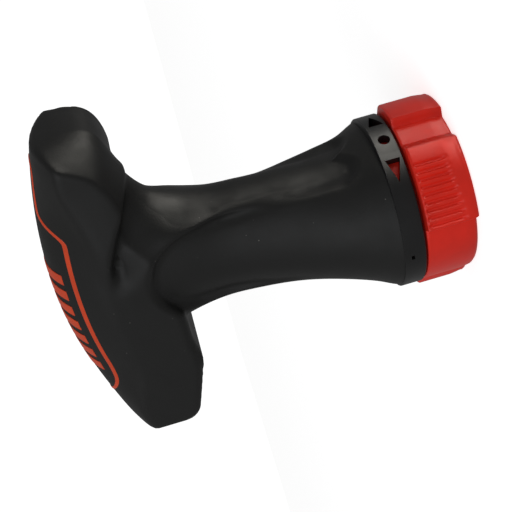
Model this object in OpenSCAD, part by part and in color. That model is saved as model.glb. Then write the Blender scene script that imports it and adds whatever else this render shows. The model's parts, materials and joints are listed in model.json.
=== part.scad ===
// T-handle ratchet bit driver, as an assembly of its separate pieces.
// The tool stands on the front face of its selector ring: z = 0 is that face, +Z runs up
// the tool axis to the crown of the T, and +X points along the slimmer arm of the T.

/* [Handle] */
// Height of the crown above the front face of the selector ring
crown_z = 98.6; // [96:0.2:102]
// Reach of each arm of the T from the tool axis
arm_reach = 42.5; // [40:0.5:46]
// Thickness of the T, front to back
head_depth = 25; // [23:0.5:27]
// Height of the soft edge between the crown and the front and back faces
crown_edge_z = 86.2; // [84:0.2:88]
// Height of the lowest point of the deep arm
deep_arm_z = 70; // [69:0.2:73]
// Height of the underside of the slim arm
slim_arm_z = 75; // [74:0.2:78]

/* [Collar] */
// Outside radius of the window collar
collar_r = 21.2; // [20.8:0.1:21.8]
// Height of the collar's lower edge
collar_z = 12.8; // [12.6:0.1:13]
// Height of the corner where the collar meets the neck
collar_top_z = 18; // [17.8:0.1:18.4]
// Direction of the middle window, in degrees from the slim arm
window_angle = -12; // [-20:1:0]

/* [Selector ring] */
// Radius over the ribbed lobes of the ring
lobe_r = 22.5; // [22.2:0.1:23]
// Radius of the smooth valleys between the lobes
valley_r = 20.4; // [20.3:0.1:20.8]
// Height of the ring
ring_h = 12.2; // [12:0.1:12.4]
// Ribs on one lobe
rib_count = 9; // [5:1:11]
// Turn of the ring to either side of its middle position
selector_turn = 20; // [16:1:20]

/* [Drive] */
// Size across flats of the bit socket
hex_af = 6.35; // [6.35:0.01:6.45]
// Depth of the bit socket
socket_depth = 15; // [12:0.5:15]
// Teeth on the ratchet gear
gear_teeth = 24; // [24:12:36]
// Radius over the teeth of the ratchet gear
gear_r = 7.6; // [7.4:0.1:7.6]

/* [Hidden] */

$fn = 96;
hull_fn = 32;
eps = 0.02;
run_gap = 0.05;

grip_black = "#2c2c2a";
core_black = "#1f1f1f";
signal_red = "#b62620";

// Levels along the axis, from the ring's front face up
nose_cap_h = 2.6;
retainer_z = [4.1, 5];
lip_z = [5.2, 6.6];
plate_z = [3.2, 7.6];
pawl_z = [8, 14];
drum_z = [7.6, 17.6];
sleeve_z = [8, 17.4];
tail_z = 41;
journal_z = 21;

// Radii of the mechanism
plate_r = 12.4;
drum_r = 13.4;
flange_r = 16.8;
cam_r = 17.2;
sleeve_r = 18.6;
collar_bore_r = 18.9;
tail_r = 9;
barrel_r = 11.2;
boss_r = 6;
seat_r = 5.4;
journal_r = 4;

// ---- shared shapes ---------------------------------------------------------------------

// A closed skin through rings of points that all hold the same number of points.
module loft(rings) {
    n = len(rings[0]);
    m = len(rings);
    sides = [
        for (i = [0:m - 2]) for (j = [0:n - 1])
            each [[i * n + j, (i + 1) * n + j, (i + 1) * n + (j + 1) % n],
                  [i * n + j, (i + 1) * n + (j + 1) % n, i * n + (j + 1) % n]]
    ];
    caps = [[for (j = [0:n - 1]) j], [for (j = [n - 1:-1:0]) (m - 1) * n + j]];
    polyhedron([for (ring = rings) each ring], concat(sides, caps), convexity = 6);
}

module tube(r_out, r_in, z0, z1) {
    translate([0, 0, z0]) difference() {
        cylinder(r = r_out, h = z1 - z0);
        translate([0, 0, -1]) cylinder(r = r_in, h = z1 - z0 + 2);
    }
}

module rod(r, z0, z1) {
    translate([0, 0, z0]) cylinder(r = r, h = z1 - z0);
}

module wedge(angle, half, r) {
    rotate(angle)
        polygon([[0, 0], [r * cos(half), -r * sin(half)], [r / cos(half), 0], [r * cos(half), r * sin(half)]]);
}

function mix(a, b, t) = a + (b - a) * t;
function bezier(p, t) = (1 - t)^3 * p[0] + 3 * (1 - t)^2 * t * p[1] + 3 * (1 - t) * t^2 * p[2] + t^3 * p[3];
function signed_power(v, k) = sign(v) * pow(abs(v), k);

// ---- handle ----------------------------------------------------------------------------

// Neck and shaft: width and depth against height follow one curve, and the middle leans
// towards the slim arm once it is above the collar.
// The four control points hold the half width, the half depth and the height.
neck_curve = [[collar_r, collar_r, collar_top_z], [17.5, 15.5, 30], [9, 8.5, 58], [23, 12.4, 77]];
shaft_lean = 2.6;
shaft_steps = 14;
shaft_sides = 48;
function lean_at(z) = shaft_lean * (1 - pow(1 - min(1, (z - collar_top_z) / 30), 2));
function shaft_ring(t) =
    let (p = bezier(neck_curve, t))
    [for (j = [0:shaft_sides - 1])
        let (a = 360 * j / shaft_sides)
        [lean_at(p[2]) + p[0] * cos(a), p[1] * sin(a), p[2]]];

module shaft_skin() {
    loft([for (i = [0:shaft_steps]) shaft_ring(i / shaft_steps)]);
}

// Head: sections across the T, each a domed top on a face with a rounded foot.
crown_mid_x = -2;
crown_sag = 0.0042;
head_sides = 40;
end_round = 4.5;
head_stations = [-1, -0.975, -0.9, -0.75, -0.5, -0.25, 0, 0.25, 0.5, 0.75, 0.9, 0.975, 1];
function crown_at(x) = crown_z - crown_sag * (x - crown_mid_x)^2;
function foot_at(x) = mix(deep_arm_z, slim_arm_z, min(1, max(0, (x + 10) / 25)));
function head_inset(s) = end_round * (1 - sqrt(max(0, 1 - pow(max(0, abs(s) - 0.9) / 0.1, 2)))) * 0.6;
function head_ring(s, proud) =
    let (x = s * (arm_reach + proud), inset = head_inset(s) - proud, w = head_depth / 2 - inset,
         top = crown_at(x) - inset - crown_edge_z, foot = crown_edge_z - foot_at(x) - inset)
    [for (j = [0:head_sides - 1])
        let (a = 360 * j / head_sides, c = cos(a), d = sin(a))
        [x, w * signed_power(c, d > 0 ? 0.9 : 0.45),
         crown_edge_z + (d > 0 ? top * pow(d, 0.9) : -foot * pow(-d, 0.55))]];

module head_skin(proud = 0) {
    loft([for (s = head_stations) head_ring(s, proud)]);
}

// Hard inner moulding: a cup behind the collar, a barrel round the ratchet, a bar in the T.
bar_half = 33;
stem_r = 7.6;
bar_z = [78, 88];
module core_solid() {
    rod(collar_bore_r - 0.4, collar_top_z, collar_top_z + 1.5);
    translate([0, 0, collar_top_z + 1.5]) cylinder(r1 = collar_bore_r - 0.4, r2 = barrel_r - 0.6, h = 9);
    rod(barrel_r, collar_top_z, tail_z + 3);
    translate([1.5, 0, 0]) rod(stem_r, tail_z + 2, bar_z[1] + 2);
    translate([0, 0, (bar_z[0] + bar_z[1]) / 2]) rotate([0, 90, 0])
        cylinder(r = (bar_z[1] - bar_z[0]) / 2, h = 2 * bar_half, center = true);
}

module soft_grip() {
    color(grip_black) difference() {
        union() {
            shaft_skin();
            head_skin();
        }
        core_solid();
        rod(collar_bore_r - 0.4, collar_top_z - 1, collar_top_z + eps);
    }
}

module handle_core() {
    color(core_black) difference() {
        core_solid();
        rod(tail_r, collar_top_z - 1, tail_z);
        for (a = screw_angles) rotate(a) translate([screw_pcd_r, 0, collar_top_z - 1]) cylinder(r = 1, h = 8);
    }
}

// Inlay of the crown: an outline that is narrow over the arms and steps wider in the middle,
// with a row of slanted bars inside it.
inlay_proud = 0.25;
outline_w = 1;
outline_round = 2.5;
wide_part = [-32, 17, 8.5];
narrow_part = [10, 39, 3.6];
module outline_shape(grow) {
    offset(r = grow) offset(r = outline_round) offset(r = -2 * outline_round) offset(r = outline_round)
        for (part = [wide_part, narrow_part])
            translate([part[0], -part[2]]) square([part[1] - part[0], 2 * part[2]]);
}

module on_crown() {
    intersection() {
        translate([0, 0, crown_edge_z - 1]) linear_extrude(20) children();
        difference() {
            head_skin(inlay_proud);
            head_skin(0);
        }
    }
}

module crown_outline() {
    color(signal_red) on_crown() difference() {
        outline_shape(0);
        outline_shape(-outline_w);
    }
}

mark_count = 7;
mark_pitch = 5;
module crown_marks() {
    color(signal_red) on_crown()
        for (k = [0:mark_count - 1])
            translate([(k - (mark_count - 1) / 2) * mark_pitch - 4, 0])
                polygon([[-2.2, -4.5], [0.4, -4.5], [2.2, 4.5], [-0.4, 4.5]]);
}

// ---- collar ----------------------------------------------------------------------------

window_z = 15.3;
window_h = 3.6;
window_near = 15.5;
window_far = 31;
slot_angle = -84;
screw_angles = [10, 160, 235];
screw_pcd_r = 13.6;

module window_prism() {
    rotate([90, 0, 90]) linear_extrude(collar_r + 3) children();
}

module collar_windows() {
    half = window_h / 2;
    long_side = collar_r * (window_far - window_near) * PI / 180;
    translate([0, 0, window_z]) rotate(window_angle) {
        window_prism() circle(r = 1.5);
        for (side = [-1, 1]) rotate(side * window_near) window_prism()
            polygon([[0, -half], [0, half], [side * long_side, 0]]);
    }
    rotate(slot_angle) translate([collar_bore_r - 1, -0.5, window_z - 0.4]) cube([5, 1.2, 0.8]);
}

module window_collar() {
    color(core_black) difference() {
        rod(collar_r, collar_z, collar_top_z);
        rod(collar_bore_r, collar_z - 1, collar_top_z - 0.4);
        rod(flange_r - 1.6, collar_z - 1, collar_top_z + 1);
        collar_windows();
    }
}

// Screws through the housing flange into the hard core.
module screw(head_r, head_h, shank_r, length) {
    difference() {
        union() {
            translate([0, 0, -head_h]) cylinder(r = head_r, h = head_h);
            cylinder(r = shank_r, h = length);
        }
        translate([0, 0, -head_h - 1]) cylinder(r = head_r * 0.45, h = 1 + head_h * 0.6, $fn = 6);
    }
}

module collar_screws() {
    color("silver") for (a = screw_angles)
        rotate(a) translate([screw_pcd_r, 0, drum_z[1] - 1.2]) screw(1.8, 1.2, 1, 7);
}

// ---- ratchet housing ---------------------------------------------------------------------

pawl_pin_r = 1.2;
pawl_pivot_r = 10.9;
pawl_angle = 90;
pawl_side = 24;
pocket_half = 24;
plate_screw_angles = [0, 180, 270];
plate_screw_r = 9.6;
gear_pocket_r = gear_r + 0.4;

module pawl_pocket(side) {
    rotate(pawl_angle + side * pawl_side) translate([pawl_pivot_r, 0]) circle(r = 3.2);
    wedge(pawl_angle + side * pawl_side, pocket_half, drum_r + 1);
}

module ratchet_housing() {
    color("dimgray") difference() {
        union() {
            rod(drum_r, drum_z[0], pawl_z[1] + 0.4);
            rod(flange_r, pawl_z[1] + 0.4, drum_z[1]);
            rod(tail_r, drum_z[1], tail_z - 0.2);
        }
        rod(gear_pocket_r, drum_z[0] - 1, pawl_z[1] + 0.2);
        translate([0, 0, drum_z[0] - 1]) linear_extrude(pawl_z[1] + 0.2 - drum_z[0] + 1)
            for (side = [-1, 1]) pawl_pocket(side);
        rod(seat_r + 0.3, pawl_z[1], journal_z);
        rod(journal_r + 0.3, journal_z, tail_z);
        rod(boss_r, tail_z - 16.2, tail_z + 1);
        for (side = [-1, 1]) rotate(pawl_angle + side * pawl_side)
            translate([pawl_pivot_r, 0, pawl_z[1] - 1]) cylinder(r = pawl_pin_r, h = 3.2);
        for (a = screw_angles) rotate(a) translate([screw_pcd_r, 0, pawl_z[1]]) {
            cylinder(r = 1.1, h = 10);
            cylinder(r = 2, h = drum_z[1] - pawl_z[1] - 1.2);
        }
        for (a = plate_screw_angles) rotate(a) translate([plate_screw_r, 0, drum_z[0] - 1]) cylinder(r = 0.8, h = 6);
        detent_bore();
    }
}

module front_plate() {
    color("gray") difference() {
        union() {
            rod(plate_r, plate_z[0], lip_z[1] + 0.2);
            rod(drum_r, lip_z[1] + 0.2, plate_z[1]);
        }
        rod(boss_r + 1.4, plate_z[0] - 1, plate_z[1] + 1);
        tube(plate_r + 1, plate_r - 0.8, retainer_z[0], retainer_z[1]);
        for (a = plate_screw_angles) rotate(a) translate([plate_screw_r, 0, plate_z[0] - 1]) {
            cylinder(r = 0.9, h = 8);
            cylinder(r = 1.45, h = 2.2);
        }
    }
}

module plate_screws() {
    color("silver") for (a = plate_screw_angles)
        rotate(a) translate([plate_screw_r, 0, plate_z[0] + 1.2]) screw(1.4, 1.1, 0.8, 7);
}

module front_bush() {
    color("goldenrod") tube(boss_r + 1.4, boss_r + run_gap, plate_z[0], plate_z[1]);
}

module rear_bush() {
    color("goldenrod") tube(boss_r, journal_r + run_gap, tail_z - 16.2, tail_z - 4);
}

module pawl_pins() {
    color("silver") for (side = [-1, 1]) rotate(pawl_angle + side * pawl_side)
        translate([pawl_pivot_r, 0, 0]) rod(pawl_pin_r, plate_z[1], pawl_z[1] + 2.2);
}

// Leaf springs that bear on the tails of the pawls, one for each.
module pawl_springs() {
    color("lightsteelblue") for (side = [-1, 1])
        rotate(pawl_angle + side * (pawl_side + pocket_half - 1.1))
            translate([drum_r - 1.4, -0.2, pawl_z[0] + 1]) cube([1.2, 0.4, 4]);
}

// ---- detent --------------------------------------------------------------------------------

detent_angle = -90;
detent_z = 16;
ball_r = 1;
ball_path_r = 16.45;
ball_travel = 0.35;
module detent_bore() {
    rotate(detent_angle) translate([0, 0, detent_z]) rotate([0, 90, 0]) translate([0, 0, 11.4])
        cylinder(r = ball_r + run_gap, h = 8);
}

module detent_spring() {
    coil_r = 0.7;
    wire_r = 0.15;
    turns = 4;
    color("lightsteelblue") rotate(detent_angle) translate([11.5, 0, detent_z]) rotate([0, 90, 0])
        for (k = [0:turns]) translate([0, 0, wire_r + k * 0.9])
            rotate_extrude($fn = 24) translate([coil_r, 0]) circle(r = wire_r, $fn = 16);
}

module detent_ball() {
    color("silver") rotate(detent_angle) translate([ball_path_r, 0, detent_z]) sphere(r = ball_r);
}

// ---- selector ------------------------------------------------------------------------------

pad_angle = -55;
// Middle and half width of the ribbed lobe and of the plain one, in degrees
lobe_spans = [[-49.5, 25.5], [18.2, 19.8]];
rib_step = 4.5;
cap_r = 16.2;
groove_r = 15.6;

module lobes(r, inset, edge) {
    for (span = lobe_spans, k = [0, 1]) intersection() {
        tube(r, valley_r - 1, edge, ring_h - edge / 2);
        linear_extrude(ring_h) wedge(span[0] + 180 * k, span[1] - inset, r + 1);
    }
}

module selector_ring() {
    color(signal_red) difference() {
        union() {
            rod(valley_r, 0, ring_h);
            lobes(lobe_r, 0, 1.2);
            lobes(lobe_r - 0.8, 1.5, 0.4);
        }
        for (k = [0, 1]) for (i = [0:rib_count - 1])
            rotate(pad_angle + 180 * k + (i - (rib_count - 1) / 2) * rib_step)
                translate([lobe_r + 0.15, 0, 2.4]) cylinder(r = 0.6, h = ring_h - 3.4, $fn = 24);
        rod(cap_r, -1, nose_cap_h);
        rod(groove_r, nose_cap_h - 1, lip_z[0]);
        rod(plate_r + run_gap, lip_z[0] - 1, lip_z[1] + 1);
        rod(cam_r, lip_z[1], ring_h + 1);
        rod(sleeve_r, sleeve_z[0], ring_h + 1);
    }
}

module nose_cap() {
    color(core_black) difference() {
        rod(cap_r, 0, nose_cap_h);
        rod(boss_r + 0.6, -1, nose_cap_h + 1);
        translate([0, 0, -1]) cylinder(r1 = boss_r + 3.6, r2 = boss_r + 0.6, h = 2);
    }
}

module selector_sleeve() {
    color(signal_red) difference() {
        tube(sleeve_r, cam_r, sleeve_z[0], sleeve_z[1]);
        rod(ball_path_r + ball_r + run_gap, detent_z - 1.4, sleeve_z[1] + 1);
        for (k = [-1, 0, 1]) rotate(detent_angle + k * selector_turn) translate([0, 0, detent_z])
            rotate([0, 90, 0]) translate([0, 0, ball_path_r])
                cylinder(r = ball_r + 0.2, h = ball_r + ball_travel + run_gap);
    }
}

// Inside the cam ring two wide recesses let the pawl tails move.
module cam_ring() {
    color("silver") translate([0, 0, pawl_z[0]]) linear_extrude(pawl_z[1] - pawl_z[0]) difference() {
        circle(r = cam_r);
        circle(r = drum_r + 0.4);
        intersection() {
            circle(r = cam_r - 1.2);
            wedge(pawl_angle, 66, cam_r + 1);
        }
    }
}

module ring_retainer() {
    color("lightsteelblue") difference() {
        tube(groove_r - 0.4, plate_r - 0.8, retainer_z[0], retainer_z[1]);
        translate([0, 0, retainer_z[0] - 1]) linear_extrude(3) wedge(180, 9, 16.5);
    }
}

// ---- spindle -------------------------------------------------------------------------------

spindle_z = 0.6;
hex_r = hex_af / 2 / cos(30);
magnet_r = 3;
magnet_h = 2.8;
key_w = 2;
module spindle() {
    color("silver") difference() {
        union() {
            rod(boss_r, spindle_z, pawl_z[0]);
            rod(seat_r, pawl_z[0], journal_z - 1.2);
            rod(journal_r, journal_z - 1.2, tail_z - 1);
        }
        translate([0, 0, spindle_z - 1]) cylinder(r = hex_r, h = socket_depth + 1, $fn = 6);
        translate([0, 0, spindle_z - eps]) cylinder(r1 = hex_r + 0.6, r2 = hex_r - 0.4, h = 1);
        rod(magnet_r, spindle_z + socket_depth - 1, spindle_z + socket_depth + magnet_h);
        rod(4.2, 5, 6);
        tube(journal_r + 1, journal_r - 0.6, tail_z - 3.6, tail_z - 2.6);
        translate([seat_r - 0.9, -key_w / 2, pawl_z[0]]) cube([3, key_w, pawl_z[1] - pawl_z[0]]);
    }
}

function gear_outline() = [
    for (k = [0:gear_teeth - 1]) let (p = 360 / gear_teeth, a = k * p)
        each [for (q = [[-0.32, -1], [-0.14, 0], [0.14, 0], [0.32, -1]])
            (gear_r + q[1]) * [cos(a + q[0] * p), sin(a + q[0] * p)]]
];

module ratchet_gear() {
    color("slategray") difference() {
        translate([0, 0, pawl_z[0]]) linear_extrude(pawl_z[1] - pawl_z[0]) polygon(gear_outline());
        rod(seat_r, pawl_z[0] - 1, pawl_z[1] + 1);
        translate([seat_r - 1, -key_w / 2, pawl_z[0] - 1]) cube([1.7, key_w, 8]);
    }
}

module gear_key() {
    color("silver") translate([seat_r - 0.9, -key_w / 2, pawl_z[0]])
        cube([1.6, key_w, pawl_z[1] - pawl_z[0]]);
}

module bit_clip() {
    color("lightsteelblue") difference() {
        tube(4.2, 3.75, 5.2, 5.8);
        translate([0, 0, 5]) linear_extrude(1) wedge(200, 12, 5);
    }
}

module socket_magnet() {
    color("silver") rod(magnet_r, spindle_z + socket_depth, spindle_z + socket_depth + magnet_h);
}

module thrust_washer() {
    color("goldenrod") tube(seat_r + 0.2, journal_r + 0.05, journal_z - 1.2, journal_z);
}

module rear_circlip() {
    color("lightsteelblue") difference() {
        tube(5.6, journal_r - 0.6, tail_z - 3.6, tail_z - 2.6);
        translate([0, 0, tail_z - 4]) linear_extrude(2) wedge(90, 20, 7);
    }
}

// ---- pawls ---------------------------------------------------------------------------------

// Each pawl turns on its pin: the nose points at the gear and the tail at the cam ring.
nose_lift = 0.15;
module pawl(side) {
    nose_angle = pawl_angle + side * 5.5;
    pivot = pawl_pivot_r * [cos(pawl_angle + side * pawl_side), sin(pawl_angle + side * pawl_side)];
    nose = (gear_r + nose_lift) * [cos(nose_angle), sin(nose_angle)];
    color("slategray") translate([0, 0, pawl_z[0] + 0.2]) linear_extrude(pawl_z[1] - pawl_z[0] - 0.4)
        difference() {
            union() {
                translate(pivot) circle(r = 2.2);
                hull() {
                    translate(nose + 0.5 * [cos(nose_angle), sin(nose_angle)]) circle(r = 0.5, $fn = hull_fn);
                    translate(pivot) circle(r = 1.9, $fn = hull_fn);
                }
                hull() {
                    translate(pivot) circle(r = 1.9, $fn = hull_fn);
                    rotate(pawl_angle + side * (pawl_side + 14)) translate([drum_r + 0.3, 0])
                        circle(r = 0.7, $fn = hull_fn);
                }
            }
            translate(pivot) circle(r = pawl_pin_r + run_gap);
        }
}

module pawl_forward() {
    pawl(-1);
}

module pawl_reverse() {
    pawl(1);
}

soft_grip();
handle_core();
crown_outline();
crown_marks();
window_collar();
collar_screws();
ratchet_housing();
front_plate();
plate_screws();
front_bush();
rear_bush();
pawl_pins();
pawl_springs();
detent_spring();
ring_retainer();
selector_ring();
nose_cap();
selector_sleeve();
cam_ring();
spindle();
ratchet_gear();
gear_key();
bit_clip();
socket_magnet();
thrust_washer();
rear_circlip();
pawl_forward();
pawl_reverse();
detent_ball();
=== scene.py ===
"""Looks of the T-handle ratchet bit driver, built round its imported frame."""

import json
import math

import bpy
import numpy as np
from mathutils import Matrix, Vector


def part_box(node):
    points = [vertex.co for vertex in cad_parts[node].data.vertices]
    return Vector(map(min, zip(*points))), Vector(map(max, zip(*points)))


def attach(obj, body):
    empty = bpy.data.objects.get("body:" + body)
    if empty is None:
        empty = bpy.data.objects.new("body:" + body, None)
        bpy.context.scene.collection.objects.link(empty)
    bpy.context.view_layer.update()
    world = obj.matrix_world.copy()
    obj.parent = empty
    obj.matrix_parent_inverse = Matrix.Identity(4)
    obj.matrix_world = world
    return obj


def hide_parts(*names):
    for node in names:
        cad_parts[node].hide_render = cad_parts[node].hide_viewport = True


bl_info = {
    "name": "T-handle ratchet driver",
    "version": (1, 0, 0),
    "blender": (4, 5, 0),
    "location": "View3D > Sidebar > Driver",
    "description": "Models the grip, collar, selector ring and inlays of a T-handle ratchet driver",
    "category": "Object",
}

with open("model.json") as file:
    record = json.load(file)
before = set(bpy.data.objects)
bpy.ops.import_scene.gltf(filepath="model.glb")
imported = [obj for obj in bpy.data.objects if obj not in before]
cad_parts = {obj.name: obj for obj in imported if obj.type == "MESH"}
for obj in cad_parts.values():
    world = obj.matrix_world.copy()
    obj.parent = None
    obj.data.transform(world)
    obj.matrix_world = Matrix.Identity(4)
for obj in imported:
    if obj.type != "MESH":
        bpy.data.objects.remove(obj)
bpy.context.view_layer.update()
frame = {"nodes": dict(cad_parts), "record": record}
MM = 0.001


def box_mm(node):
    """Lowest and highest corner of a CAD node, in millimetres."""
    low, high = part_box(node)
    return np.array(low) / MM, np.array(high) / MM


GRIP_LOW, GRIP_HIGH = box_mm("soft_grip")
COLLAR_LOW, COLLAR_HIGH = box_mm("window_collar")
RING_HIGH = box_mm("selector_ring")[1]
CAP_HIGH = box_mm("nose_cap")[1]
RING_HIGH_RADIUS = 23.15


# ---- sizes and colours that a user would change ---------------------------------------------


class GripSizes(bpy.types.PropertyGroup):
    head_half_depth: bpy.props.FloatProperty(
        name="Head half depth", description="Half the thickness of the T, in mm", default=12.1, min=11, max=13
    )
    scoop_depth: bpy.props.FloatProperty(
        name="Thumb scoop",
        description="Depth of the scoops in the front and back of the shaft, in mm",
        default=2.2,
        min=0,
        max=3,
    )
    hollow_depth: bpy.props.FloatProperty(
        name="Arm hollow",
        description="Depth of the hollow under the slim arm, in mm",
        default=3.2,
        min=0,
        max=4,
    )
    channel_depth: bpy.props.FloatProperty(
        name="Finger channel",
        description="Depth of the channel along the shaft, in mm",
        default=1.9,
        min=0,
        max=3,
    )
    mesh_size: bpy.props.FloatProperty(
        name="Mesh size", description="Edge length of the skin's faces, in mm", default=0.62, min=0.5, max=2
    )


class RingSizes(bpy.types.PropertyGroup):
    rib_count: bpy.props.IntProperty(name="Ribs", description="Grooves on one lobe", default=9, min=3, max=13)
    rib_step: bpy.props.FloatProperty(
        name="Rib step",
        description="Angle from one groove to the next, in degrees",
        default=4.5,
        min=3,
        max=6,
    )
    rib_depth: bpy.props.FloatProperty(
        name="Rib depth", description="Depth of a groove, in mm", default=0.55, min=0.1, max=1
    )
    rim_chamfer: bpy.props.FloatProperty(
        name="Rim", description="Height of the sloped front rim, in mm", default=2.6, min=1, max=4
    )


class Finishes(bpy.types.PropertyGroup):
    grip: bpy.props.StringProperty(name="Grip", description="Elastomer colour, sRGB hex", default="#191918")
    collar: bpy.props.StringProperty(
        name="Collar",
        description="Black nylon colour, sRGB hex",
        default="#181818",
    )
    ring: bpy.props.StringProperty(name="Ring", description="Red nylon colour, sRGB hex", default="#ec2a1a")
    inlay: bpy.props.StringProperty(name="Inlay", description="Inlay colour, sRGB hex", default="#e2491f")
    floor: bpy.props.StringProperty(name="Floor", description="Floor colour, sRGB hex", default="#f6f6f6")


# ---- shared helpers ---------------------------------------------------------------------------


def clear_selection():
    if bpy.context.object and bpy.context.object.mode != "OBJECT":
        bpy.ops.object.mode_set(mode="OBJECT")
    bpy.ops.object.select_all(action="DESELECT")


def activate(obj):
    clear_selection()
    obj.select_set(True)
    bpy.context.view_layer.objects.active = obj
    return obj


def named(name):
    """The active object, named, with its place moved into its mesh."""
    obj = bpy.context.object
    obj.name = obj.data.name = name
    bpy.ops.object.transform_apply(location=True, rotation=True, scale=True)
    return obj


def points_mm(obj):
    co = np.empty(len(obj.data.vertices) * 3)
    obj.data.vertices.foreach_get("co", co)
    return co.reshape(-1, 3) / MM


def place_points(obj, points):
    obj.data.vertices.foreach_set("co", (points * MM).ravel())
    obj.data.update()


def apply_modifier(obj, kind, **settings):
    activate(obj)
    modifier = obj.modifiers.new(kind.title(), kind)
    for key, value in settings.items():
        setattr(modifier, key, value)
    bpy.ops.object.modifier_apply(modifier=modifier.name)


def cut_away(obj, cutter):
    apply_modifier(obj, "BOOLEAN", operation="DIFFERENCE", solver="EXACT", object=cutter)
    bpy.data.objects.remove(cutter)


def smooth_shade(obj, angle=35):
    activate(obj)
    bpy.ops.object.shade_smooth_by_angle(angle=math.radians(angle))


def turned(name, profile, sides):
    """A closed profile of (radius, height) in mm, spun round the tool axis."""
    clear_selection()
    bpy.ops.mesh.primitive_plane_add(size=MM, location=(0, 0, 0))
    obj = bpy.context.object
    mesh = obj.data
    mesh.clear_geometry()
    count = len(profile)
    edges = [(i, (i + 1) % count) for i in range(count)]
    mesh.from_pydata([(r * MM, 0, z * MM) for r, z in profile], edges, [])
    bpy.ops.object.mode_set(mode="EDIT")
    bpy.ops.mesh.select_all(action="SELECT")
    bpy.ops.mesh.spin(steps=sides, angle=math.tau, center=(0, 0, 0), axis=(0, 0, 1))
    bpy.ops.mesh.select_all(action="SELECT")
    bpy.ops.mesh.remove_doubles(threshold=1e-6)
    bpy.ops.mesh.normals_make_consistent(inside=False)
    bpy.ops.object.mode_set(mode="OBJECT")
    return named(name)


def filled_profile(profile, step):
    """The same closed profile with points added, so that none are further apart than step."""
    out = []
    for (r0, z0), (r1, z1) in zip(profile, profile[1:] + profile[:1]):
        n = max(1, math.ceil(math.hypot(r1 - r0, z1 - z0) / step))
        out += [(r0 + (r1 - r0) * k / n, z0 + (z1 - z0) * k / n) for k in range(n)]
    return out


def ramp(v, low, high):
    t = np.clip((v - low) / (high - low), 0, 1)
    return t * t * (3 - 2 * t)


def mix(a, b, t):
    return a + (b - a) * t


def round_max(a, b, r):
    """Intersection of two solids whose fields are a and b, with an edge rounded over r."""
    h = np.maximum(r - np.abs(a - b), 0) / r
    return np.maximum(a, b) + h * h * r / 4


def round_min(a, b, r):
    return -round_max(-a, -b, r)


def through(z, levels, values):
    """A smooth curve through values at levels, read at z."""
    levels, values = np.array(levels, float), np.array(values, float)
    slopes = np.gradient(values, levels)
    i = np.clip(np.searchsorted(levels, z) - 1, 0, len(levels) - 2)
    gap = levels[i + 1] - levels[i]
    t = np.clip((z - levels[i]) / gap, 0, 1)
    a, b = (2 * t**3 - 3 * t**2 + 1), (t**3 - 2 * t**2 + t)
    return a * values[i] + b * gap * slopes[i] + (1 - a) * values[i + 1] + (t**3 - t**2) * gap * slopes[i + 1]


# ---- materials ----------------------------------------------------------------------------------


def linear(code):
    """An sRGB hex colour as linear RGBA."""
    parts = [int(code[i : i + 2], 16) / 255 for i in (1, 3, 5)]
    return [c / 12.92 if c <= 0.04045 else ((c + 0.055) / 1.055) ** 2.4 for c in parts] + [1.0]


def shade(code, factor):
    """A hex colour as linear RGBA, made lighter or darker by factor."""
    return [c * factor for c in linear(code)[:3]] + [1.0]


def add_node(tree, kind, inputs=None, **settings):
    """Adds a node, sets its properties, and sets or links its inputs."""
    node = tree.nodes.new(kind)
    for key, value in settings.items():
        setattr(node, key, value)
    for key, value in (inputs or {}).items():
        socket = node.inputs[key]
        if isinstance(value, bpy.types.NodeSocket):
            tree.links.new(value, socket)
        else:
            socket.default_value = value
    return node


def new_material(name):
    """An empty node material: its tree, its shader and its Object coordinates."""
    material = bpy.data.materials.new(name)
    material.use_nodes = True
    tree = material.node_tree
    tree.nodes.clear()
    shader = add_node(tree, "ShaderNodeBsdfPrincipled")
    add_node(tree, "ShaderNodeOutputMaterial", {"Surface": shader.outputs["BSDF"]})
    place = add_node(tree, "ShaderNodeTexCoord").outputs["Object"]
    return material, tree, shader, place


def per_mm(size):
    """Texture scale that makes one feature about size mm wide."""
    return 1 / (size * MM)


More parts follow.
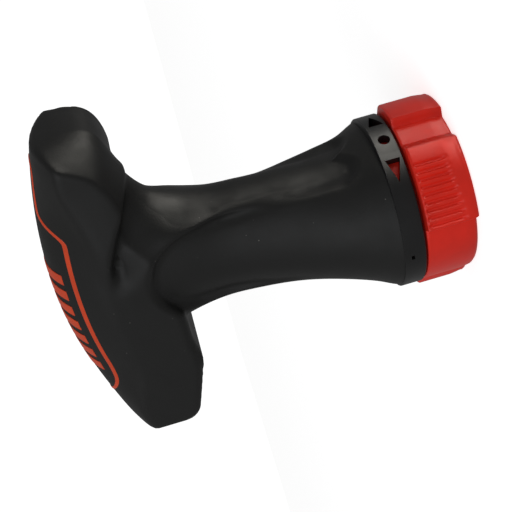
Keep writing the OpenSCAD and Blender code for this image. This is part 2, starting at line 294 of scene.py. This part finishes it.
def moulded_plastic(name, colour, roughness, grain, grain_depth, specks=0.0, patch=6.0, gloss=0.3):
    """Injection-moulded plastic or rubber. Spark-eroded tool steel leaves a fine grain that
    breaks up the highlight, and handling leaves patches that are a little glossier."""
    material, tree, shader, place = new_material(name)
    # A grain of 0.1 mm is too fine to show, so it is drawn as coarse as it needs to show.
    cells = add_node(
        tree,
        "ShaderNodeTexNoise",
        {"Vector": place, "Scale": per_mm(grain), "Detail": 4.0, "Roughness": 0.6},
    ).outputs["Fac"]
    patches = add_node(
        tree,
        "ShaderNodeTexNoise",
        {"Vector": place, "Scale": per_mm(patch), "Detail": 3.0, "Roughness": 0.55},
    ).outputs["Fac"]
    spread = add_node(
        tree, "ShaderNodeMapRange", {"Value": patches, "From Min": 0.3, "From Max": 0.7}
    ).outputs["Result"]
    tone = add_node(
        tree, "ShaderNodeMix", {0: spread, 6: shade(colour, 0.9), 7: shade(colour, 1.1)}, data_type="RGBA"
    ).outputs[2]
    if specks:
        dust = add_node(
            tree, "ShaderNodeTexVoronoi", {"Vector": place, "Scale": per_mm(2.6), "Randomness": 1.0}
        ).outputs["Distance"]
        rare = add_node(
            tree,
            "ShaderNodeTexNoise",
            {"Vector": place, "Scale": per_mm(9.0), "Detail": 2.0, "Roughness": 0.5},
        ).outputs["Fac"]
        dot = add_node(
            tree,
            "ShaderNodeMapRange",
            {"Value": dust, "From Min": 0.035, "From Max": 0.07, "To Min": 1, "To Max": 0},
        ).outputs["Result"]
        where = add_node(
            tree, "ShaderNodeMapRange", {"Value": rare, "From Min": 0.55, "From Max": 0.62}
        ).outputs["Result"]
        amount = add_node(tree, "ShaderNodeMath", {0: dot, 1: where}, operation="MULTIPLY").outputs[0]
        amount = add_node(tree, "ShaderNodeMath", {0: amount, 1: specks}, operation="MULTIPLY").outputs[0]
        tone = add_node(
            tree, "ShaderNodeMix", {0: amount, 6: tone, 7: linear("#8d8b84")}, data_type="RGBA"
        ).outputs[2]
    tree.links.new(tone, shader.inputs["Base Color"])
    gloss_spread = add_node(
        tree,
        "ShaderNodeMapRange",
        {
            "Value": patches,
            "From Min": 0.3,
            "From Max": 0.7,
            "To Min": roughness - 0.04,
            "To Max": roughness + 0.05,
        },
    ).outputs["Result"]
    tree.links.new(gloss_spread, shader.inputs["Roughness"])
    bump = add_node(
        tree, "ShaderNodeBump", {"Height": cells, "Strength": 0.5, "Distance": grain_depth * MM}
    )
    tree.links.new(bump.outputs["Normal"], shader.inputs["Normal"])
    shader.inputs["Specular IOR Level"].default_value = gloss
    return material


def worked_metal(name, colour, roughness, grain, stretch, grain_depth):
    """Machined, cast or sintered metal. Its grain is stretched along the way it was worked, which
    spreads the highlight across the marks, and handling oil darkens it in patches."""
    material, tree, shader, place = new_material(name)
    mapped = add_node(tree, "ShaderNodeMapping", {"Vector": place, "Scale": stretch}).outputs["Vector"]
    marks = add_node(
        tree,
        "ShaderNodeTexNoise",
        {"Vector": mapped, "Scale": per_mm(grain), "Detail": 4.0, "Roughness": 0.6},
    ).outputs["Fac"]
    patches = add_node(
        tree,
        "ShaderNodeTexNoise",
        {"Vector": place, "Scale": per_mm(5.0), "Detail": 3.0, "Roughness": 0.5},
    ).outputs["Fac"]
    spread = add_node(
        tree, "ShaderNodeMapRange", {"Value": patches, "From Min": 0.3, "From Max": 0.75}
    ).outputs["Result"]
    tone = add_node(
        tree, "ShaderNodeMix", {0: spread, 6: shade(colour, 0.82), 7: linear(colour)}, data_type="RGBA"
    ).outputs[2]
    tree.links.new(tone, shader.inputs["Base Color"])
    rubbed = add_node(
        tree,
        "ShaderNodeMapRange",
        {
            "Value": marks,
            "From Min": 0.3,
            "From Max": 0.7,
            "To Min": roughness - 0.07,
            "To Max": roughness + 0.07,
        },
    ).outputs["Result"]
    tree.links.new(rubbed, shader.inputs["Roughness"])
    bump = add_node(tree, "ShaderNodeBump", {"Height": marks, "Strength": 0.4, "Distance": grain_depth * MM})
    tree.links.new(bump.outputs["Normal"], shader.inputs["Normal"])
    shader.inputs["Metallic"].default_value = 1.0
    return material


FINISH_CACHE = {}


def finish_for(slot):
    """The material for a slot of the record, made once."""
    if slot not in FINISH_CACHE:
        colours = bpy.context.scene.driver_finishes
        makers = {
            # TPE rubber: low gloss that lifts to a soft grey sheen on the curves, with a little dust.
            "grip_elastomer": lambda: moulded_plastic(
                "tpe_rubber_moulded", colours.grip, 0.54, 0.42, 0.05, 0.5
            ),
            # Glass-filled nylon: harder than the grip, so its highlight is tighter.
            "hard_nylon": lambda: moulded_plastic("black_nylon_moulded", colours.collar, 0.42, 0.3, 0.03),
            # Through-coloured nylon: clean red with a satin highlight along each rib.
            "red_nylon": lambda: moulded_plastic(
                "red_nylon_moulded", colours.ring, 0.36, 0.3, 0.015, 0.0, 9.0
            ),
            # Second-shot inlay: brighter and more orange than the ring.
            "red_inlay": lambda: moulded_plastic("red_inlay_moulded", colours.inlay, 0.4, 0.3, 0.015),
            # Tumbled zinc casting: dull, even grey with a pebbled skin.
            "zinc_casting": lambda: worked_metal("zinc_die_cast", "#9fa1a3", 0.5, 0.5, (1, 1, 1), 0.03),
            # Clear zinc plate on rolled screws.
            "zinc_screws": lambda: worked_metal("zinc_plated_steel", "#c4c6c9", 0.32, 0.3, (1, 1, 3), 0.01),
            # Sintered bronze: warm, porous and dark with oil.
            "bronze": lambda: worked_metal("bronze_sintered", "#b48a52", 0.4, 0.25, (1, 1, 1), 0.02),
            # Ground and hardened steel: fine marks round the part.
            "hardened_steel": lambda: worked_metal("steel_ground", "#a3a4a8", 0.27, 0.2, (1, 1, 6), 0.008),
            # Drawn wire and rolled strip: bright along its length.
            "spring_steel": lambda: worked_metal("steel_spring", "#b2b4b8", 0.24, 0.2, (4, 4, 1), 0.006),
            # Pressed and sintered steel: dark grey and finely pitted.
            "sintered_steel": lambda: worked_metal("steel_sintered", "#7f8083", 0.45, 0.22, (1, 1, 1), 0.02),
            # Turned steel under satin nickel: faint rings that catch the light.
            "chrome_steel": lambda: worked_metal(
                "nickel_satin_turned", "#d0d0cc", 0.22, 0.25, (1, 1, 8), 0.006
            ),
            # Nickel-plated magnet: smooth and bright.
            "magnet_nickel": lambda: worked_metal(
                "nickel_plated_magnet", "#d8d6d0", 0.15, 0.6, (1, 1, 1), 0.003
            ),
        }
        FINISH_CACHE[slot] = makers[slot]()
    return FINISH_CACHE[slot]


def dress(obj, slot, body, *nodes):
    """Gives a finished piece its material, its body and the CAD nodes that it stands for."""
    obj.data.materials.clear()
    obj.data.materials.append(finish_for(slot))
    if nodes:
        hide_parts(*nodes)
    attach(obj, body)
    return obj


# ---- grip ----------------------------------------------------------------------------------------

CROWN_TOP = 98.6
CROWN_MIDDLE = -2.0
CROWN_SAG_DEEP = 0.0045
CROWN_SAG_SLIM = 0.0036
CROWN_ROLL = 0.08
CROWN_ROLL_FRONT_ENDS = 0.034
CROWN_ROLL_BACK_ENDS = 0.025
NECK_LEVELS = [14, 18, 23, 30, 40, 50, 60, 70, 80]
NECK_HALF_WIDTH = [21.6, 20.6, 18.5, 16.85, 15.5, 15.1, 15.7, 20.3, 28]
NECK_HALF_DEPTH = [21.6, 20.9, 18.4, 16.0, 13.2, 12.2, 12.0, 12.2, 12.2]
NECK_CENTRE = [0, -0.05, 0.0, 0.75, 1.75, 2.65, 3.5, 5.4, 8]
FILLET_DEEP_ARM = 0.8
FILLET_SLIM_FRONT = 6.5
FILLET_SLIM_BACK = 2.5
SCOOP_MIDDLE = (2.7, 64.5)
SCOOP_HALF_WIDTH = 12.0
CHANNEL_ANGLE = 17.0
CHANNEL_SIDE = 34.5
CHANNEL_END = 22.0


def crown_roll(x, y):
    ends = np.where(y < 0, CROWN_ROLL_FRONT_ENDS, CROWN_ROLL_BACK_ENDS)
    return mix(CROWN_ROLL, ends, ramp(np.abs(x), 18, 40))


def crown_height(x, y):
    """Height of the crown over a point of the T, in mm."""
    sag = np.where(x < CROWN_MIDDLE, CROWN_SAG_DEEP, CROWN_SAG_SLIM)
    return CROWN_TOP - sag * (x - CROWN_MIDDLE) ** 2 - crown_roll(x, y) * y**2


def shaft_field(x, y, z):
    a = through(z, NECK_LEVELS, NECK_HALF_WIDTH)
    b = through(z, NECK_LEVELS, NECK_HALF_DEPTH)
    u, v = (x - through(z, NECK_LEVELS, NECK_CENTRE)) / a, y / b
    reach = np.hypot(u, v) + 1e-6
    field = (reach - 1) * reach / np.sqrt((u / a) ** 2 + (v / b) ** 2 + 1e-9)
    return round_max(field, z - 83, 3)


def head_field(x, y, z, half_depth):
    side = np.abs(y)
    steepness = np.hypot(2 * crown_roll(x, y) * y, 2 * CROWN_SAG_SLIM * (x - CROWN_MIDDLE))
    crown = (z - crown_height(x, y)) / np.hypot(1, steepness)
    face = side - half_depth
    foot = mix(69.3, 75.9, ramp(x, -12, 22)) + 0.28 * np.maximum(0, -25 - x) - 1.0 * ramp(x, 25, 32) - z
    foot += 0.9 * ramp(x, -24, -15)
    slim_end = x - 42.8
    deep_end = -x - 43.4
    # The slim arm's end and underside run into each other along a slope, steeper in front.
    slope = 0.481 * x + np.where(y < 0, 0.608, 0.1) * side - 0.632 * z + 26.0
    under = round_max(round_max(slope, slim_end, 9.0), foot, 6.0)
    under = round_max(under, deep_end, 4.0)
    body = round_max(face, under, mix(2.2, 1.0, ramp(x, -5, 8)))
    return round_max(body, crown, 0.9)


def hollow_edge(x):
    """Height of the sharp lower edge of the head's face, under the slim arm."""
    return 86.5 - 0.09 * x - 0.0105 * x**2


def grip_field(points, sizes):
    """Below zero inside the grip and about the distance to its skin outside, in mm."""
    x, y, z = points.T
    # The T blends into the shaft with a wide fillet under the slim arm and a tight one under the deep arm.
    fillet = mix(FILLET_DEEP_ARM, mix(FILLET_SLIM_FRONT, FILLET_SLIM_BACK, ramp(y, -2, 6)), ramp(x, -2, 20))
    head = head_field(x, y, z, sizes.head_half_depth)
    field = round_min(shaft_field(x, y, z), head, fillet)
    from_scoop = np.hypot(x - SCOOP_MIDDLE[0], np.maximum(0, z - SCOOP_MIDDLE[1])) - SCOOP_HALF_WIDTH
    # Scoop in the shaft's front and back, with its round end wall under the T.
    field += sizes.scoop_depth * ramp(z, 34, 60) * ramp(-from_scoop, -0.5, 2.4)
    # Hollow between the slim arm's sharp edge and the scoop's ridge.
    below_edge = (hollow_edge(x) - z) / mix(3.0, 1.0, ramp(x, 4, 15))
    field += (
        sizes.hollow_depth
        * ramp(below_edge, 0, 2.0)
        * ramp(from_scoop, 0.3, 8.5)
        * ramp(x, 3, 11)
        * (1 - ramp(x, 22, 34))
    )
    # Finger channel along the side below the slim arm, with a round end near the collar.
    angle = np.degrees(np.arctan2(np.abs(y), x - 1.0))
    from_side = np.radians(CHANNEL_SIDE - angle) * 19
    from_end = z - CHANNEL_END - 0.012 * (angle - CHANNEL_ANGLE) ** 2
    channel = ramp(from_side, -1.0, 5.0) * ramp(from_end, -0.3, 2.2)
    field += sizes.channel_depth * mix(1.0, 0.5, ramp(z, 26, 44)) * channel * (1 - ramp(z, 62, 76))
    return field


def settle_on_field(obj, field, rounds):
    """Moves a mesh's points onto the zero of a field and evens out their spacing."""
    points = points_mm(obj)
    edges = np.empty(len(obj.data.edges) * 2, int)
    obj.data.edges.foreach_get("vertices", edges)
    a, b = edges.reshape(-1, 2).T
    count = np.bincount(np.r_[a, b], minlength=len(points))[:, None]
    reach = 0.04
    for turn in range(rounds):
        value = field(points)
        slope = np.stack(
            [
                (field(points + reach * axis) - field(points - reach * axis)) / (2 * reach)
                for axis in np.eye(3)
            ],
            axis=1,
        )
        length = np.linalg.norm(slope, axis=1, keepdims=True) + 1e-6
        normal = slope / length
        points = points - normal * np.clip(value[:, None] / length, -1.0, 1.0)
        if turn < rounds - 2:
            total = np.zeros_like(points)
            np.add.at(total, a, points[b])
            np.add.at(total, b, points[a])
            drift = total / count - points
            drift -= normal * (drift * normal).sum(1, keepdims=True)
            points = points + 0.5 * drift
    place_points(obj, points)


def soft_block(name, low, high):
    """A cube between two corners, in mm, with its edges bevelled."""
    low, high = np.array(low, float), np.array(high, float)
    place, extent = (low + high) / 2 * MM, (high - low) * MM
    bpy.ops.mesh.primitive_cube_add(size=1, location=tuple(place), scale=tuple(extent))
    obj = named(name)
    apply_modifier(obj, "BEVEL", width=3 * MM, segments=2)
    return obj


class DRIVER_OT_grip(bpy.types.Operator):
    """Soft grip: the T, its shaft and their scoops as one moulded skin over the hard core"""

    bl_idname = "driver.grip"
    bl_label = "Soft grip"

    def execute(self, context):
        sizes = context.scene.driver_grip
        clear_selection()
        depth = sizes.head_half_depth
        head = soft_block("head", (GRIP_LOW[0] + 1, -depth, 73), (GRIP_HIGH[0] - 1, depth, 92))
        levels = np.arange(14.0, 80.1, 3.0)
        widths = through(levels, NECK_LEVELS, NECK_HALF_WIDTH)
        shaft = turned("shaft", [(0.0, 14.0), *zip(widths, levels), (0.0, 80.0)], 64)
        points = points_mm(shaft)
        height = points[:, 2]
        depths = through(height, NECK_LEVELS, NECK_HALF_DEPTH)
        points[:, 1] *= depths / through(height, NECK_LEVELS, NECK_HALF_WIDTH)
        points[:, 0] += through(height, NECK_LEVELS, NECK_CENTRE)
        place_points(shaft, points)
        clear_selection()
        head.select_set(True)
        shaft.select_set(True)
        context.view_layer.objects.active = shaft
        bpy.ops.object.join()
        grip = named("grip_skin")
        grip.data.remesh_voxel_size = sizes.mesh_size * MM
        bpy.ops.object.voxel_remesh()
        settle_on_field(grip, lambda p: grip_field(p, sizes), 12)
        activate(grip)
        bpy.ops.object.mode_set(mode="EDIT")
        bpy.ops.mesh.select_all(action="SELECT")
        bpy.ops.mesh.bisect(
            plane_co=(0, 0, COLLAR_HIGH[2] * MM), plane_no=(0, 0, -1), clear_outer=True, use_fill=True
        )
        bpy.ops.object.mode_set(mode="OBJECT")
        smooth_shade(grip, 50)
        dress(grip, "grip_elastomer", "handle", "soft_grip")
        return {"FINISHED"}


# ---- inlays of the crown -----------------------------------------------------------------------

INLAY_PROUD = 0.16
INLAY_SUNK = 0.5
BAND_WIDTH = 0.72
WIDE_SIDE = 8.4
NARROW_SIDE = 3.2


def band_side(x):
    """Half the width of the outline where it crosses x."""
    return mix(WIDE_SIDE, NARROW_SIDE, ramp(x, 19.5, 27.5))


def outline_path(count):
    """Closed path of the outline over the crown, as points (x, y) in mm."""
    deep_end, slim_end, deep_turn, slim_turn = -32.0, 39.0, 9.0, 3.2
    half = []
    for t in np.linspace(0, math.pi / 2, 16):
        half.append((deep_end + deep_turn * (1 - math.cos(t)), WIDE_SIDE * math.sin(t)))
    for x in np.linspace(deep_end + deep_turn, slim_end - slim_turn, count)[1:]:
        half.append((x, band_side(x)))
    for t in np.linspace(math.pi / 2, 0, 12)[1:]:
        half.append((slim_end - slim_turn * (1 - math.cos(t)), NARROW_SIDE * math.sin(t)))
    return half + [(x, -y) for x, y in half[-2:0:-1]]


def on_crown(x, y, lift):
    return (x, y, crown_height(x, y) + lift)


def skin_object(name, points, faces):
    """A mesh of points in mm, with its normals made to face outwards."""
    clear_selection()
    bpy.ops.mesh.primitive_plane_add(size=MM, location=(0, 0, 0))
    obj = bpy.context.object
    obj.data.clear_geometry()
    obj.data.from_pydata([tuple(c * MM for c in p) for p in points], [], faces)
    bpy.ops.object.mode_set(mode="EDIT")
    bpy.ops.mesh.select_all(action="SELECT")
    bpy.ops.mesh.normals_make_consistent(inside=False)
    bpy.ops.object.mode_set(mode="OBJECT")
    return named(name)


class DRIVER_OT_crown_inlay(bpy.types.Operator):
    """Crown inlay: the outline band and the row of slanted bars inside it"""

    bl_idname = "driver.crown_inlay"
    bl_label = "Crown inlay"

    def execute(self, context):
        path = np.array(outline_path(120))
        ahead, behind = np.roll(path, -1, 0), np.roll(path, 1, 0)
        along = ahead - behind
        along /= np.linalg.norm(along, axis=1, keepdims=True)
        across = np.stack([-along[:, 1], along[:, 0]], 1)
        half = BAND_WIDTH / 2
        section = [
            (-half, -INLAY_SUNK), (-half, INLAY_PROUD * 0.5), (-half * 0.75, INLAY_PROUD),
            (0, INLAY_PROUD * 1.15),
            (half * 0.75, INLAY_PROUD), (half, INLAY_PROUD * 0.5), (half, -INLAY_SUNK),
        ]
        points = [on_crown(*(p + n * s), lift) for p, n in zip(path, across) for s, lift in section]
        count, width = len(path), len(section)
        faces = [
            (
                i * width + j,
                i * width + (j + 1) % width,
                (i + 1) % count * width + (j + 1) % width,
                (i + 1) % count * width + j,
            )
            for i in range(count)
            for j in range(width)
        ]
        outline = skin_object("crown_outline_band", points, faces)
        smooth_shade(outline, 50)
        dress(outline, "red_inlay", "handle", "crown_outline")

        bars = []
        marks = 7
        pitch, bar_width, bar_side, slant = 4.9, 2.9, 6.3, 3.4
        for k in range(marks):
            middle = -4.2 + (k - (marks - 1) / 2) * pitch
            bars.append(self.slanted_bar(f"bar_{k}", middle, bar_width, bar_side, slant))
        clear_selection()
        for bar in bars:
            bar.select_set(True)
        context.view_layer.objects.active = bars[0]
        bpy.ops.object.join()
        row = named("crown_mark_bars")
        smooth_shade(row, 40)
        dress(row, "red_inlay", "handle", "crown_marks")
        return {"FINISHED"}

    def slanted_bar(self, name, middle, width, side, slant):
        """One bar across the crown, leaning along the T, with softened edges."""
        rows, cols = 20, 5
        points = []
        for i in range(rows + 1):
            y = side * (2 * i / rows - 1)
            for j in range(cols + 1):
                x = middle + slant * y / side / 2 + width * (j / cols - 0.5)
                points.append(on_crown(x, y, INLAY_PROUD))
        under = len(points)
        points += [(x, y, z - INLAY_SUNK - INLAY_PROUD) for x, y, z in points]
        grid = [
            (
                i * (cols + 1) + j,
                i * (cols + 1) + j + 1,
                (i + 1) * (cols + 1) + j + 1,
                (i + 1) * (cols + 1) + j,
            )
            for i in range(rows)
            for j in range(cols)
        ]
        rim = (
            list(range(cols + 1))
            + [i * (cols + 1) + cols for i in range(1, rows + 1)]
            + [rows * (cols + 1) + j for j in range(cols - 1, -1, -1)]
            + [i * (cols + 1) for i in range(rows - 1, 0, -1)]
        )
        walls = [(a, b, b + under, a + under) for a, b in zip(rim, rim[1:] + rim[:1])]
        return skin_object(name, points, grid + [tuple(v + under for v in face) for face in grid] + walls)


# ---- collar ----------------------------------------------------------------------------------------

WINDOW_HEIGHT = 15.3
WINDOW_ANGLE = -12.0


def prism(outline, radius, angle, height):
    """A prism with a flat outline (along the collar, up), standing out of the collar at angle."""
    inner, outer = radius - 3.5, radius + 2.0
    count = len(outline)
    turn = Matrix.Rotation(math.radians(angle), 4, "Z")
    points = [tuple(turn @ Vector((r, u, height + v))) for r in (inner, outer) for u, v in outline]
    faces = [tuple(range(count))[::-1], tuple(range(count, 2 * count))]
    faces += [(i, (i + 1) % count, count + (i + 1) % count, count + i) for i in range(count)]
    return skin_object("window_cutter", points, faces)


class DRIVER_OT_collar(bpy.types.Operator):
    """Collar: the hard band behind the ring, with its windows"""

    bl_idname = "driver.collar"
    bl_label = "Window collar"

    def execute(self, context):
        radius = COLLAR_HIGH[0]
        low, high = COLLAR_LOW[2], COLLAR_HIGH[2]
        bore, wall_top, hole = 18.9, high - 0.4, 15.2
        soft = 0.25
        profile = [
            (radius - soft, low), (radius, low + soft), (radius, high - 0.15), (radius - 0.15, high),
            (hole, high), (hole, wall_top), (bore, wall_top), (bore, low),
        ]
        collar = turned("window_collar_band", filled_profile(profile, 2.0), 240)
        half = 1.8
        long_side = radius * math.radians(15.5)
        turns = np.linspace(0, math.tau, 33)[:-1]
        dot = [(1.45 * math.cos(t), 1.45 * math.sin(t)) for t in turns]
        cutters = [prism(dot, radius, WINDOW_ANGLE, WINDOW_HEIGHT)]
        for side in (-1, 1):
            outline = [(0, -half), (0, half), (side * long_side, 0.1)]
            cutters.append(prism(outline, radius, WINDOW_ANGLE + side * 15.5, WINDOW_HEIGHT))
        slot = [(-0.55, -0.4), (0.65, -0.3), (0.55, 0.45), (-0.6, 0.35)]
        cutters.append(prism(slot, radius, -94.5, 16.0))
        for cutter in cutters:
            cut_away(collar, cutter)
        smooth_shade(collar, 30)
        dress(collar, "hard_nylon", "handle", "window_collar")
        return {"FINISHED"}


# ---- selector ring --------------------------------------------------------------------------------

PAD_ANGLE = -55.0
RIBBED_LOBE = (-23.0, -20.5, 28.0, 36.0)
PLAIN_LOBE = (51.5, 53.5, 78.0, 90.0)


def lobe_rise(angle):
    """1 over a lobe and 0 in a valley, and the angle past the middle of the ribs, in degrees."""
    phi = (angle - PAD_ANGLE + 80) % 180 - 80
    rise = sum(ramp(phi, a, b) * (1 - ramp(phi, c, d)) for a, b, c, d in (RIBBED_LOBE, PLAIN_LOBE))
    return rise, phi


class DRIVER_OT_ring(bpy.types.Operator):
    """Selector ring: two ribbed lobes, two plain ones, smooth valleys and a sloped front rim"""

    bl_idname = "driver.ring"
    bl_label = "Selector ring"

    def execute(self, context):
        sizes = context.scene.driver_ring
        top = RING_HIGH[2]
        lobe, valley = RING_HIGH_RADIUS, RING_HIGH_RADIUS - 2.3
        inner = [
            (18.62, top), (18.62, 8.0), (17.22, 8.0), (17.22, 6.6), (12.5, 6.6),
            (12.5, 5.2), (15.6, 5.2), (15.6, 2.6), (16.22, 2.6), (16.22, 0.0),
        ]
        outer = [(lobe - 0.6, 0.0), (lobe, 0.6), (lobe, top)]
        rim = filled_profile(outer, 0.32)
        cut = next(i for i, p in enumerate(rim) if p == outer[-1])
        profile = rim[: cut + 1] + inner
        ring = turned("selector_ring_ribbed", profile, 720)
        points = points_mm(ring)
        radius = np.hypot(points[:, 0], points[:, 1])
        angle = np.degrees(np.arctan2(points[:, 1], points[:, 0]))
        z = points[:, 2]
        rise, phi = lobe_rise(angle)
        wanted = mix(valley, lobe, rise)
        # Grooves across the pad run from the back edge to the sloped rim, whose edge is slanted.
        groove_angle = phi / sizes.rib_step
        half_count = (sizes.rib_count - 1) / 2
        near = np.abs(groove_angle - np.round(groove_angle))
        groove = (1 - ramp(near, 0.06, 0.36)) * (np.abs(np.round(groove_angle)) <= half_count)
        groove_end = sizes.rim_chamfer + 0.035 * (np.clip(phi, -20, 20) + 20)
        groove *= ramp(z, groove_end - 0.3, groove_end + 1.3) * (1 - ramp(z, top - 0.8, top - 0.35))
        wanted = wanted - sizes.rib_depth * groove
        # The rim slopes in towards the front face.
        slope = np.clip((groove_end - z) / sizes.rim_chamfer, 0, 1)
        wanted = wanted - 0.35 * slope**1.3 - 0.35 * ramp(0.6 - z, 0, 0.6)
        wanted = wanted - 0.25 * ramp(z, top - 0.3, top)
        outside = radius > 18.9
        scale = np.where(outside, wanted / radius, 1.0)
        points[:, 0] *= scale
        points[:, 1] *= scale
        place_points(ring, points)
        smooth_shade(ring, 40)
        dress(ring, "red_nylon", "selector", "selector_ring")
        return {"FINISHED"}


class DRIVER_OT_nose(bpy.types.Operator):
    """Nose cap: the dished black disc round the bit socket"""

    bl_idname = "driver.nose"
    bl_label = "Nose cap"

    def execute(self, context):
        rim, height, mouth = CAP_HIGH[0], CAP_HIGH[2], 6.6
        profile = [
            (mouth, height), (mouth, 1.3), (mouth + 0.5, 0.95), (mouth + 2.4, 0.75), (mouth + 2.7, 0.35),
            (mouth + 3.1, 0.3), (mouth + 5.6, 0.3), (mouth + 5.9, 0.05), (mouth + 6.4, 0.0),
            (rim - 0.35, 0.0), (rim - 0.05, 0.3), (rim - 0.05, height),
        ]
        cap = turned("nose_cap_dished", profile, 180)
        smooth_shade(cap, 30)
        dress(cap, "hard_nylon", "selector", "nose_cap")
        return {"FINISHED"}


class DRIVER_OT_finishes(bpy.types.Operator):
    """Finishes of the CAD nodes that stay as they are: sleeve, cam, gear, pawls and the rest"""

    bl_idname = "driver.finishes"
    bl_label = "Inner part finishes"

    def execute(self, context):
        slots = {s["node"]: s["material_slot"] for s in frame["record"]["subparts"]}
        for name, node in frame["nodes"].items():
            if node.hide_render:
                continue
            node.data.materials.clear()
            node.data.materials.append(finish_for(slots[name]))
        return {"FINISHED"}


# ---- stage -------------------------------------------------------------------------------------------

VIEW_AZIMUTH = 39.7
VIEW_ELEVATION = 3.2
VIEW_ROLL = -106.2
VIEW_OFFSET = Vector((46.7, 18.0, -246.2)) * MM
VIEW_LENS = 70.3
LIGHT_ROUND_OBJECT = 0.3
BACKDROP_LIGHT = 1.1
FLOOR_GLOW = 0.7


class DRIVER_OT_stage(bpy.types.Operator):
    """Stage: pale floor, soft lights and the camera"""

    bl_idname = "driver.stage"
    bl_label = "Stage"

    def execute(self, context):
        clear_selection()
        bpy.ops.mesh.primitive_plane_add(size=6, location=(0, 0, -0.0002))
        floor = named("floor")
        material, tree, shader, place = new_material("painted_floor")
        pale = context.scene.driver_finishes.floor
        uneven = add_node(
            tree,
            "ShaderNodeTexNoise",
            {"Vector": place, "Scale": per_mm(400.0), "Detail": 3.0, "Roughness": 0.5},
        ).outputs["Fac"]
        tone = add_node(
            tree, "ShaderNodeMix", {0: uneven, 6: shade(pale, 0.97), 7: linear(pale)}, data_type="RGBA"
        ).outputs[2]
        tree.links.new(tone, shader.inputs["Base Color"])
        shader.inputs["Roughness"].default_value = 0.9
        shader.inputs["Emission Color"].default_value = (1, 1, 1, 1)
        shader.inputs["Emission Strength"].default_value = FLOOR_GLOW
        floor.data.materials.append(material)
        # The floor lights nothing, so the faces that look down at it stay as dark as on a stand.
        floor.visible_diffuse = floor.visible_glossy = False

        azimuth, elevation, roll = (math.radians(a) for a in (VIEW_AZIMUTH, VIEW_ELEVATION, VIEW_ROLL))
        back = Vector(
            (
                math.sin(azimuth) * math.cos(elevation),
                -math.cos(azimuth) * math.cos(elevation),
                math.sin(elevation),
            )
        )
        right = Vector((math.cos(azimuth), math.sin(azimuth), 0))
        up = back.cross(right)
        turned_right = right * math.cos(roll) + up * math.sin(roll)
        turned_up = up * math.cos(roll) - right * math.sin(roll)
        turn = Matrix((turned_right, turned_up, back)).transposed()
        camera_data = bpy.data.cameras.new("camera")
        camera_data.lens = VIEW_LENS
        camera_data.sensor_width = 36
        camera_data.clip_start = 0.01
        camera = bpy.data.objects.new("camera", camera_data)
        context.scene.collection.objects.link(camera)
        camera.matrix_world = Matrix.Translation(-(turn @ VIEW_OFFSET)) @ turn.to_4x4()
        context.scene.camera = camera

        centre = Vector((0, 0, 0.055))
        for name, direction, distance, size, power, colour in (
            ("key", turned_up + turned_right * 0.4 + back * 0.35, 0.55, 0.6, 11.5, (1.0, 0.97, 0.89)),
            ("fill", back - turned_up * 0.9 - turned_right * 0.3, 0.8, 0.8, 2.4, (0.95, 0.97, 1.0)),
        ):
            light = bpy.data.lights.new(name, "AREA")
            light.shape = "DISK"
            light.size = size
            light.energy = power
            light.color = colour
            lamp = bpy.data.objects.new(name, light)
            lamp.location = centre + direction.normalized() * distance
            lamp.rotation_euler = direction.to_track_quat("Z", "Y").to_euler()
            context.scene.collection.objects.link(lamp)

        world = bpy.data.worlds.new("studio")
        world.use_nodes = True
        # The backdrop is white to the camera, and dim to the object, so that the lamps shape it.
        seen = add_node(world.node_tree, "ShaderNodeLightPath").outputs["Is Camera Ray"]
        background = world.node_tree.nodes["Background"]
        background.inputs["Color"].default_value = (1, 1, 1, 1)
        strength = add_node(
            world.node_tree,
            "ShaderNodeMapRange",
            {"Value": seen, "To Min": LIGHT_ROUND_OBJECT, "To Max": BACKDROP_LIGHT},
        ).outputs["Result"]
        world.node_tree.links.new(strength, background.inputs["Strength"])
        context.scene.world = world
        context.scene.view_settings.view_transform = "Standard"
        return {"FINISHED"}


class DRIVER_PT_panel(bpy.types.Panel):
    """Sidebar panel that lists the driver's pieces"""

    bl_idname = "DRIVER_PT_panel"
    bl_label = "T-handle driver"
    bl_space_type = "VIEW_3D"
    bl_region_type = "UI"
    bl_category = "Driver"

    def draw(self, context):
        for operator in OPERATORS:
            self.layout.operator(operator.bl_idname)
        for group in (context.scene.driver_grip, context.scene.driver_ring, context.scene.driver_finishes):
            for key in group.__annotations__:
                self.layout.prop(group, key)


OPERATORS = (
    DRIVER_OT_stage,
    DRIVER_OT_grip,
    DRIVER_OT_crown_inlay,
    DRIVER_OT_collar,
    DRIVER_OT_ring,
    DRIVER_OT_nose,
    DRIVER_OT_finishes,
)
CLASSES = (GripSizes, RingSizes, Finishes, *OPERATORS, DRIVER_PT_panel)


def register():
    for item in CLASSES:
        bpy.utils.register_class(item)
    bpy.types.Scene.driver_grip = bpy.props.PointerProperty(type=GripSizes)
    bpy.types.Scene.driver_ring = bpy.props.PointerProperty(type=RingSizes)
    bpy.types.Scene.driver_finishes = bpy.props.PointerProperty(type=Finishes)


def unregister():
    for key in ("driver_finishes", "driver_ring", "driver_grip"):
        delattr(bpy.types.Scene, key)
    for item in reversed(CLASSES):
        bpy.utils.unregister_class(item)


def main():
    register()
    bpy.ops.driver.stage()
    bpy.ops.driver.grip()
    bpy.ops.driver.crown_inlay()
    bpy.ops.driver.collar()
    bpy.ops.driver.ring()
    bpy.ops.driver.nose()
    bpy.ops.driver.finishes()


if __name__ == "__main__":
    main()
